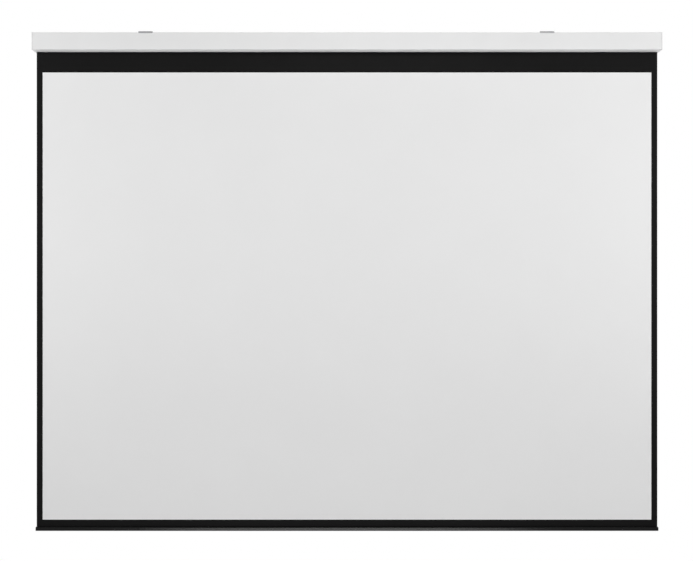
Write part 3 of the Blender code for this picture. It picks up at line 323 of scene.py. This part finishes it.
def turned_steel():
    """Turned or drawn steel: fine tool lines and small dull spots."""
    metal = Finish("turned_steel", Metallic=1.0)
    lines = metal.noise(1400, 2, (1, 0.2, 0.2))
    spots = metal.noise(260, 3)
    dull = metal.spread(spots, 0.4, 0.8, 0, 0.6)
    metal.colour(metal.mix(dull, grey(0.52), grey(0.52 * 0.62, 0.03)))
    metal.roughness(0.32 + 0.16 * (lines - 0.5) + 0.18 * (spots - 0.5))
    metal.relief(lines, 0.000015)
    return metal.material


def mill_aluminium():
    """Bare extrusion: die lines along its length and faint cloudy stains."""
    metal = Finish("mill_aluminium", Metallic=1.0)
    lines = metal.noise(1100, 3, (0.003, 1, 1))
    cloud = metal.noise(11, 3)
    stains = metal.spread(cloud, 0.35, 0.75, 0, 0.7)
    metal.colour(metal.mix(stains, grey(0.74), grey(0.74 * 0.8)))
    metal.roughness(0.36 + 0.20 * (lines - 0.5) + 0.10 * (cloud - 0.5))
    metal.relief(lines, 0.00002)
    return metal.material


YELLOW = (0.82, 0.62, 0.05, 1)
DARK_YELLOW = (0.74, 0.53, 0.03, 1)
NYLON = (0.76, 0.73, 0.64, 1)
DARK_NYLON = (0.70, 0.67, 0.57, 1)

FINISHES = {
    "white_powder_coat": powder_coat("case_white", 0.813, 0.42, 0.2),
    "white_plastic": moulded("end_white", grey(0.76), grey(0.73), 0.48),
    "black_plastic": moulded("moulded_black", grey(0.018), grey(0.013), 0.45, 0.35),
    "black_powder_coat": bar_coat(),
    "white_screen_fabric": woven("picture_white", grey(0.83), grey(0.82), 0.92, 0.1),
    "black_screen_fabric": woven("border_black", grey(0.0064), grey(0.0052), 0.52, 0.05),
    "zinc_plated_steel": zinc(),
    "bare_steel": turned_steel(),
    "bare_aluminium": mill_aluminium(),
    "natural_nylon": moulded("natural_nylon", NYLON, DARK_NYLON, 0.38),
    "black_motor_tube": powder_coat("motor_black", 0.05, 0.36, 0.4),
    "yellow_plastic": moulded("stop_screw_yellow", YELLOW, DARK_YELLOW, 0.32),
}
SLOT_OF = {s["node"]: s["material_slot"] for s in frame["record"]["subparts"]}
BODIES = frame["record"]["behaviour"]["bodies"]
BODY_OF = {node: body for body, nodes in BODIES.items() for node in nodes}


# Making pieces


def show(name, bm, slot, body, stands_for=()):
    """A finished piece from its mesh: smooth where it is round, riding on its body."""
    mesh = bpy.data.meshes.new(name)
    bm.to_mesh(mesh)
    bm.free()
    mesh.shade_smooth()
    mesh.set_sharp_from_angle(angle=SHARP)
    thing = bpy.data.objects.new(name, mesh)
    bpy.context.scene.collection.objects.link(thing)
    thing.modifiers.new("even_faces", "WEIGHTED_NORMAL").keep_sharp = True
    mesh.materials.append(FINISHES[slot])
    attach(thing, body)
    if stands_for:
        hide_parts(*stands_for)
    return thing


def merged(node):
    """A node's mesh with its triangles joined into whole faces."""
    bm = bmesh.new()
    bm.from_mesh(frame["nodes"][node].data)
    bmesh.ops.remove_doubles(bm, verts=bm.verts, dist=MERGE)
    bmesh.ops.dissolve_limit(bm, angle_limit=FLAT, verts=bm.verts, edges=bm.edges)
    return bm


def soften(bm, width):
    """Rounds a mesh's sharp edges."""
    edges = [e for e in bm.edges if len(e.link_faces) == 2 and e.calc_face_angle() > SHARP]
    bmesh.ops.bevel(
        bm,
        geom=edges,
        offset=width,
        offset_type="OFFSET",
        affect="EDGES",
        segments=2,
        profile=0.5,
        material=-1,
        clamp_overlap=True,
    )


def refined(node, width):
    """A node's shape with its edges eased and its round faces smooth."""
    bm = merged(node)
    if width:
        soften(bm, width)
    show(f"{node}_shown", bm, SLOT_OF[node], BODY_OF[node], [node])


# Sheet


def wave(x, z):
    """How far the sheet hangs back from its plane: nothing where the roll and hem hold it."""
    low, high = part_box("projection_sheet")
    u = (x - low.x) / (high.x - low.x)
    v = (high.z - z) / (high.z - low.z)
    free = max(0.0, min(1.0, v * WAVE_COMES, (WAVE_FOOT - v) * WAVE_GOES))
    drift = sum(
        part * math.sin(math.tau * (across * u + down * v + start))
        for part, across, down, start in WAVES
    )
    most = sum(part for part, *_ in WAVES)
    return WAVE_HEIGHT * free * (0.5 + drift / (2 * most))


def hanging(name, slot, edges, front, thickness):
    """One flat closed layer of the sheet between its edges, waved and given its thickness."""
    left, right, top, bottom = edges
    middle = Vector(((left + right) / 2, front, (top + bottom) / 2))
    bm = bmesh.new()
    bmesh.ops.create_grid(bm, x_segments=SHEET_COLUMNS, y_segments=SHEET_ROWS, size=0.5)
    bmesh.ops.rotate(bm, verts=bm.verts, matrix=Matrix.Rotation(QUARTER, 3, "X"))
    bmesh.ops.scale(bm, verts=bm.verts, vec=(right - left, 1, top - bottom))
    bmesh.ops.translate(bm, verts=bm.verts, vec=middle)
    for vertex in bm.verts:
        vertex.co.y += wave(vertex.co.x, vertex.co.z)
    bmesh.ops.recalc_face_normals(bm, faces=bm.faces)
    # An open sheet may come out facing either way
    if bm.faces[0].normal.y > 0:
        bmesh.ops.reverse_faces(bm, faces=bm.faces)
    bmesh.ops.solidify(bm, geom=bm.faces[:], thickness=thickness)
    return show(name, bm, slot, "case")


def sheet():
    """The black base with the white picture layer on it, and the turn where the sheet leaves the roll."""
    low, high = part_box("projection_sheet")
    foot = low.z - HEM_LAP
    edges = (low.x, high.x, high.z, foot)
    front = low.y + LAYER_THICKNESS + LAYER_GAP
    base = hanging("sheet_base", "black_screen_fabric", edges, front, BASE_THICKNESS)
    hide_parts("projection_sheet")
    edges = (-VIEW_WIDTH / 2, VIEW_WIDTH / 2, VIEW_TOP, VIEW_BOTTOM)
    layer = hanging("picture_face", "white_screen_fabric", edges, low.y, LAYER_THICKNESS)
    travel = next(j["range_m"][1] for j in frame["joints"] if j["name"] == "screen_drop")
    for thing, end in ((base, foot), (layer, VIEW_BOTTOM)):
        full = high.z - end
        left = full - travel
        left / full
        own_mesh(thing)
    others = [layer, outer_turn()]


# Fabric round the roller and in the bar


def axis_of(node):
    """The middle of a node's box, which is the axis of a round one."""
    low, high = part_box(node)
    return (low + high) / 2


def ribbon(name, node, line, body, stands_for=()):
    """A strip of fabric as wide as a node, bent along a line that runs through its middle."""
    low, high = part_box(node)
    last = len(line) - 1
    bm = bmesh.new()
    bmesh.ops.create_grid(bm, x_segments=RIBBON_COLUMNS, y_segments=last, size=0.5)
    for vertex in bm.verts:
        y, z = line[round((vertex.co.y + 0.5) * last)]
        vertex.co = (low.x + (vertex.co.x + 0.5) * (high.x - low.x), y, z)
    bmesh.ops.recalc_face_normals(bm, faces=bm.faces)
    bm.normal_update()
    for vertex in bm.verts:
        vertex.co += vertex.normal * SHEET_THICKNESS / 2
    bmesh.ops.solidify(bm, geom=bm.faces[:], thickness=SHEET_THICKNESS)
    return show(name, bm, "black_screen_fabric", body, stands_for)


def spiral(axis, first, last, start, end):
    """Points from one turn to another, at a radius that goes from start to end."""
    steps = round(WRAP_STEPS * (last - first))
    points = []
    for step in range(steps + 1):
        radius = start + (end - start) * step / steps
        angle = math.tau * (first + (last - first) * step / steps)
        points.append((axis.y + radius * math.cos(angle), axis.z + radius * math.sin(angle)))
    return points


def outer_turn():
    """The outermost turn, which is always where the sheet leaves the roll, so it doesn't turn."""
    axis = axis_of("roller_tube")
    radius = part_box("wound_fabric")[1].y - axis.y - SHEET_THICKNESS / 2
    line = spiral(axis, 0, 1, radius, radius - WRAP_PITCH)
    leaving = (axis.y + radius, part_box("projection_sheet")[1].z)
    return ribbon("outer_turn", "wound_fabric", [leaving] + line, "case")


def inner_turns():
    """The turns under it, which end in a tail tucked into the tube's groove."""
    axis = axis_of("roller_tube")
    tuck = SHEET_THICKNESS / 2
    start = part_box("wound_fabric")[1].y - axis.y - tuck - 2 * WRAP_PITCH
    radius = start - (WRAP_PITCH - SHEET_THICKNESS)
    line = spiral(axis, 1, TURNS_LEFT, start, radius)
    line += [
        (axis.y + TUCK_BEND * tuck, axis.z - radius + (1 - TUCK_BEND) * tuck),
        (axis.y + tuck, axis.z - radius + tuck),
        (axis.y + tuck, axis.z - TUCK_RADIUS),
    ]
    ribbon("wound_fabric_cloth", "wound_fabric", line, "roller", ["wound_fabric"])


def hem_loop():
    """The hem, folded round its spline and brought up through the bar's mouth."""
    low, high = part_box("bottom_hem")
    middle = (low.y + high.y) / 2
    radius = (high.y - low.y - SHEET_THICKNESS) / 2
    centre = low.z + radius + SHEET_THICKNESS / 2
    neck = SHEET_THICKNESS / 2 + HEM_GAP
    spread = math.asin(neck / radius)
    line = [(middle + neck, high.z)]
    for step in range(HEM_STEPS + 1):
        angle = QUARTER - spread - (math.tau - 2 * spread) * step / HEM_STEPS
        line.append((middle + radius * math.cos(angle), centre + radius * math.sin(angle)))
    line.append((middle - neck, high.z))
    ribbon("bottom_hem_cloth", "bottom_hem", line, "weight_bar", ["bottom_hem"])


# Screws, inlet and motor


def carried_on(bm, edges, scale, drop):
    """Extrudes a ring of edges down its axis to a wider or narrower ring, which it returns."""
    made = bmesh.ops.extrude_edge_only(bm, edges=edges)["geom"]
    verts = [g for g in made if isinstance(g, bmesh.types.BMVert)]
    bmesh.ops.scale(bm, verts=verts, vec=(scale, scale, 1))
    bmesh.ops.translate(bm, verts=verts, vec=(0, 0, -drop))
    inside = set(verts)
    return [g for g in made if isinstance(g, bmesh.types.BMEdge) and inside.issuperset(g.verts)]


def each_once(things):
    return list(dict.fromkeys(things))


def corners_of(edges):
    return each_once(vertex for edge in edges for vertex in edge.verts)


def edges_at(verts):
    return each_once(edge for vertex in verts for edge in vertex.link_edges)


def circle(bm, radius, sides):
    made = bmesh.ops.create_circle(bm, cap_ends=False, segments=sides, radius=radius)
    return edges_at(made["verts"])


def cross_recess(bm):
    """The outline of a cross for a screwdriver, sunk to a small flat floor."""
    cross = circle(bm, RECESS_RADIUS, RECESS_SIDES)
    points = corners_of(cross)
    half_step = Matrix.Rotation(math.pi / RECESS_SIDES, 3, "Z")
    bmesh.ops.rotate(bm, verts=points, matrix=half_step)
    waist = [v for v in points if abs(abs(v.co.x) - abs(v.co.y)) < MERGE]
    bmesh.ops.scale(bm, verts=waist, vec=(RECESS_WAIST, RECESS_WAIST, 1))
    floor = cross
    for scale, share in RECESS_STEPS:
        floor = carried_on(bm, floor, scale, RECESS_DEPTH * share)
    bmesh.ops.contextual_create(bm, geom=floor)
    return cross


def threaded(bm, edges, length):
    """Carries a ring of edges on as a thread that runs out to a point."""
    rings = round(length / (THREAD_PITCH / THREAD_STEPS))
    for number in range(rings):
        edges = carried_on(bm, edges, 1, length / rings)
        left = length * (1 - (number + 1) / rings)
        taper = min(1.0, POINT_END + (1 - POINT_END) * left / SCREW_POINT)
        for vertex in corners_of(edges):
            around = math.atan2(vertex.co.y, vertex.co.x)
            phase = (around / math.tau - vertex.co.z / THREAD_PITCH) % 1
            crest = max(0.0, 1 - abs(phase - 0.5) / THREAD_FLANK)
            radius = (THREAD_ROOT + (THREAD_CREST - THREAD_ROOT) * crest) * taper
            vertex.co.x = radius * math.cos(around)
            vertex.co.y = radius * math.sin(around)
    bmesh.ops.contextual_create(bm, geom=edges)


def cross_screw(node, side, turn):
    """A countersunk cross-recessed screw, its head towards one end of the screen."""
    low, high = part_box(node)
    head = (high.y - low.y) / 2
    length = high.x - low.x
    bm = bmesh.new()
    cross = cross_recess(bm)
    top = head - HEAD_EDGE
    rim = circle(bm, top, THREAD_SIDES)
    bmesh.ops.triangle_fill(bm, edges=cross + rim, use_beauty=True, use_dissolve=True)
    rim = carried_on(bm, rim, head / top, HEAD_EDGE)
    rim = carried_on(bm, rim, THREAD_ROOT / head, SCREW_CONE - HEAD_EDGE)
    threaded(bm, rim, length - SCREW_CONE)
    bmesh.ops.remove_doubles(bm, verts=bm.verts, dist=MERGE)
    bmesh.ops.recalc_face_normals(bm, faces=bm.faces)
    place = Vector((high.x if side > 0 else low.x, (low.y + high.y) / 2, (low.z + high.z) / 2))
    lie = Matrix.Rotation(side * QUARTER, 3, "Y") @ Matrix.Rotation(turn, 3, "Z")
    bmesh.ops.rotate(bm, verts=bm.verts, matrix=lie)
    bmesh.ops.translate(bm, verts=bm.verts, vec=place)
    show(f"{node}_threaded", bm, SLOT_OF[node], BODY_OF[node], [node])


def rounded_ring(bm, width, height, radius):
    """The edges of an upright rectangle with rounded corners."""
    made = bmesh.ops.create_grid(bm, x_segments=1, y_segments=1, size=0.5)["verts"]
    bmesh.ops.scale(bm, verts=made, vec=(width, height, 1))
    rounded = bmesh.ops.bevel(
        bm,
        geom=made,
        offset=radius,
        offset_type="OFFSET",
        affect="VERTICES",
        segments=CORNER_STEPS,
        profile=0.5,
        material=-1,
    )
    ring = edges_at(rounded["verts"])
    inside = each_once(face for edge in ring for face in edge.link_faces)
    bmesh.ops.delete(bm, geom=inside, context="FACES_ONLY")
    return ring


def inlet():
    """The moulded inlet, and the three round contacts that stand on its floor."""
    low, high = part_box("power_socket")
    middle = (low + high) / 2
    width, height, depth = high.y - low.y, high.z - low.z, high.x - low.x
    walls = 2 * INLET_WALL
    lie = Matrix.Rotation(-QUARTER, 3, "Y") @ Matrix.Rotation(QUARTER, 3, "Z")
    bm = bmesh.new()
    outer = rounded_ring(bm, width, height, INLET_CORNER)
    inner = rounded_ring(bm, width - walls, height - walls, INLET_CORNER / 2)
    bmesh.ops.triangle_fill(bm, edges=outer + inner, use_beauty=True, use_dissolve=False)
    bmesh.ops.contextual_create(bm, geom=carried_on(bm, outer, 1, depth))
    floor = carried_on(bm, inner, INLET_DRAFT, depth - INLET_FLOOR)
    bmesh.ops.contextual_create(bm, geom=floor)
    bmesh.ops.recalc_face_normals(bm, faces=bm.faces)
    soften(bm, INLET_EDGE)
    bmesh.ops.rotate(bm, verts=bm.verts, matrix=lie)
    bmesh.ops.translate(bm, verts=bm.verts, vec=(low.x, middle.y, middle.z))
    show("inlet_shell", bm, SLOT_OF["power_socket"], "case", ["power_socket"])
    bm = bmesh.new()
    for number in (-1, 0, 1):
        ring = circle(bm, CONTACT_RADIUS, CONTACT_SIDES)
        points = corners_of(ring)
        bmesh.ops.contextual_create(bm, geom=ring)
        for scale, rise in CONTACT_STEPS:
            ring = carried_on(bm, ring, scale, -rise)
            points += corners_of(ring)
        bmesh.ops.contextual_create(bm, geom=ring)
        bmesh.ops.translate(bm, verts=points, vec=(number * CONTACT_PITCH, 0, 0))
    bmesh.ops.recalc_face_normals(bm, faces=bm.faces)
    bmesh.ops.rotate(bm, verts=bm.verts, matrix=lie)
    foot = (high.x - INLET_FLOOR, middle.y, middle.z)
    bmesh.ops.translate(bm, verts=bm.verts, vec=foot)
    show("inlet_contacts", bm, "bare_steel", "case")


def motor_section():
    """The motor's half section: pairs of a place along the screen and a radius."""
    low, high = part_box("motor_body")
    body = (high.z - low.z) / 2
    groove = body - SEAM_DEPTH
    end = low.x + MOTOR_LENGTH
    line = [(low.x, 0), (low.x, body - MOTOR_EDGE), (low.x + MOTOR_EDGE, body)]
    for along in SEAMS:
        x = low.x + along
        line += [(x - SEAM_MOUTH, body), (x - SEAM_FLOOR, groove)]
        line += [(x + SEAM_FLOOR, groove), (x + SEAM_MOUTH, body)]
    line += [(end - MOTOR_EDGE, body), (end, body - MOTOR_EDGE)]
    line += [(end, NOSE_FOOT), (end + MOTOR_EDGE, NOSE_RADIUS)]
    line += [(high.x - NOSE_EDGE, NOSE_RADIUS), (high.x, NOSE_RADIUS - NOSE_EDGE)]
    line += [(high.x, SHAFT_HOLE), (high.x - SHAFT_DEPTH, SHAFT_HOLE)]
    return line + [(high.x - SHAFT_DEPTH, 0)]


def motor():
    """The motor's tube with rolled seams at its gearbox and brake, turned from its section."""
    axis = axis_of("motor_body")
    bm = bmesh.new()
    points = [bm.verts.new((x, axis.y + radius, axis.z)) for x, radius in motor_section()]
    edges = [bm.edges.new(pair) for pair in zip(points, points[1:])]
    bmesh.ops.spin(
        bm,
        geom=points + edges,
        cent=axis,
        axis=(1, 0, 0),
        angle=math.tau,
        steps=MOTOR_SIDES,
        use_merge=True,
    )
    bmesh.ops.remove_doubles(bm, verts=bm.verts, dist=MERGE)
    bmesh.ops.recalc_face_normals(bm, faces=bm.faces)
    show("motor_tube", bm, SLOT_OF["motor_body"], BODY_OF["motor_body"], ["motor_body"])


# Every piece

EASED = {
    "bracket_left": STEEL_EDGE,
    "bracket_right": STEEL_EDGE,
    "latch_left": STEEL_EDGE,
    "latch_right": STEEL_EDGE,
    "drive_wheel": MOULDED_EDGE,
    "limit_crown": MOULDED_EDGE,
    "idler_plug": MOULDED_EDGE,
    "motor_head": MOULDED_EDGE,
    "weight_strip": MOULDED_EDGE,
}
SCREWS = ("end_plate_screw", "motor_screw", "idler_pin_screw")

sheet()
inner_turns()
hem_loop()
inlet()
motor()
made = {"projection_sheet", "wound_fabric", "bottom_hem", "power_socket", "motor_body"}
screws = sorted(node for node in frame["nodes"] if node.startswith(SCREWS))
for number, node in enumerate(screws):
    cross_screw(node, 1 if axis_of(node).x > 0 else -1, SCREW_TURN * number)
for node in sorted(set(frame["nodes"]) - made - set(screws)):
    refined(node, EASED.get(node, 0.0))


# Floor, lamps and camera


def floor_paint():
    """Pale paint that keeps a shadow, fades into the white round it and is clear from below."""
    paint = Finish("floor_paint", Roughness=0.9, Specular_IOR_Level=0.2)
    cloud = paint.noise(1.6, 2)
    paint.colour(paint.mix(cloud, grey(0.80), grey(0.84)))
    out = (paint.axis("X") ** 2 + (paint.axis("Y") - FLOOR_MIDDLE) ** 2) ** 0.5
    fade = paint.spread(out, FLOOR_RADIUS * FADE_FROM, FLOOR_RADIUS * FADE_TO, PART_WHITE)
    kinds = ("Is Camera Ray", "Is Glossy Ray", "Is Transmission Ray")
    camera_ray, gloss, glass = (paint.node("ShaderNodeLightPath", output=k) for k in kinds)
    seen = paint.math("MINIMUM", camera_ray + gloss + glass, 1)
    white = paint.node("ShaderNodeEmission", inputs={"Color": grey(1.0), "Strength": 1.0})
    lit = Value(paint, paint.shader.outputs[0])
    both = paint.node("ShaderNodeMixShader", inputs={0: fade * seen, 1: lit, 2: white})
    below = paint.node("ShaderNodeNewGeometry", output="Backfacing")
    clear = paint.node("ShaderNodeBsdfTransparent")
    one_sided = paint.node("ShaderNodeMixShader", inputs={0: below, 1: both, 2: clear})
    paint.feed(paint.nodes["Material Output"], {"Surface": one_sided})
    return paint.material


def plain_floor():
    bm = bmesh.new()
    bmesh.ops.create_circle(bm, cap_ends=True, segments=96, radius=FLOOR_RADIUS)
    bmesh.ops.translate(bm, verts=bm.verts, vec=(0, FLOOR_MIDDLE, FLOOR_HEIGHT))
    mesh = bpy.data.meshes.new("floor")
    bm.to_mesh(mesh)
    bm.free()
    mesh.materials.append(floor_paint())
    floor = bpy.data.objects.new("floor", mesh)
    bpy.context.scene.collection.objects.link(floor)


def lamp(name, place, aim, size, power, shape="RECTANGLE", spread=math.pi):
    data = bpy.data.lights.new(name, "AREA")
    data.shape = shape
    data.size, data.size_y = size
    data.energy = power
    data.spread = spread
    thing = bpy.data.objects.new(name, data)
    bpy.context.scene.collection.objects.link(thing)
    thing.location = place
    direction = Vector(aim) - Vector(place)
    thing.rotation_euler = direction.to_track_quat("-Z", "Y").to_euler()
    thing.visible_camera = False


def surroundings(strength):
    """White where the camera, gloss and glass look; an even grey for everything it lights."""
    world = bpy.data.worlds.new("surroundings")
    bpy.context.scene.world = world
    world.use_nodes = True
    nodes = world.node_tree.nodes
    links = world.node_tree.links
    path = nodes.new("ShaderNodeLightPath")
    seen = path.outputs["Is Camera Ray"]
    for kind in ("Is Glossy Ray", "Is Transmission Ray"):
        most = nodes.new("ShaderNodeMath")
        most.operation = "MAXIMUM"
        links.new(seen, most.inputs[0])
        links.new(path.outputs[kind], most.inputs[1])
        seen = most.outputs[0]
    level = nodes.new("ShaderNodeMapRange")
    level.inputs["To Min"].default_value = strength
    level.inputs["To Max"].default_value = 1.0
    links.new(seen, level.inputs["Value"])
    back = nodes["Background"]
    back.inputs["Color"].default_value = grey(1.0)
    links.new(level.outputs[0], back.inputs["Strength"])


def camera():
    data = bpy.data.cameras.new("camera")
    data.sensor_width = SENSOR
    data.lens = SENSOR * FOCAL_PIXELS / PICTURE_WIDTH
    eye = bpy.data.objects.new("camera", data)
    bpy.context.scene.collection.objects.link(eye)
    eye.location = EYE
    eye.rotation_euler = (QUARTER, 0, 0)
    bpy.context.scene.camera = eye


plain_floor()
surroundings(0.2)
lamp("lamp_middle", (0.2, -2.2, 0.4), (0.1, 0, -0.7), (0.9, 0.4), 13.4)
lamp("lamp_right", (2.8, -1.8, -0.3), (0.4, 0, -0.8), (1.2, 1.2), 33.7)
lamp("lamp_left", (-2.8, -1.8, -0.3), (-0.4, 0, -0.8), (1.2, 1.2), 32.5)
lamp("lamp_low", (-0.06, -3.4, -2.62), (0, 0, -0.1), (2.5, 0.36), 25, "ELLIPSE")
lamp("lamp_under", (0, -0.3, -2.9), (0, -0.062, -0.0718), (3.0, 0.08), 0.62, spread=0.2)
lamp("lamp_behind", (0.4, 3.6, 0.6), (0, 0, -0.9), (4.0, 2.6), 52)
lamp("lamp_above", (0, 0.5, 2.2), (0, -0.05, 0), (3.0, 0.8), 34)
camera()
bpy.context.scene.view_settings.view_transform = "Standard"
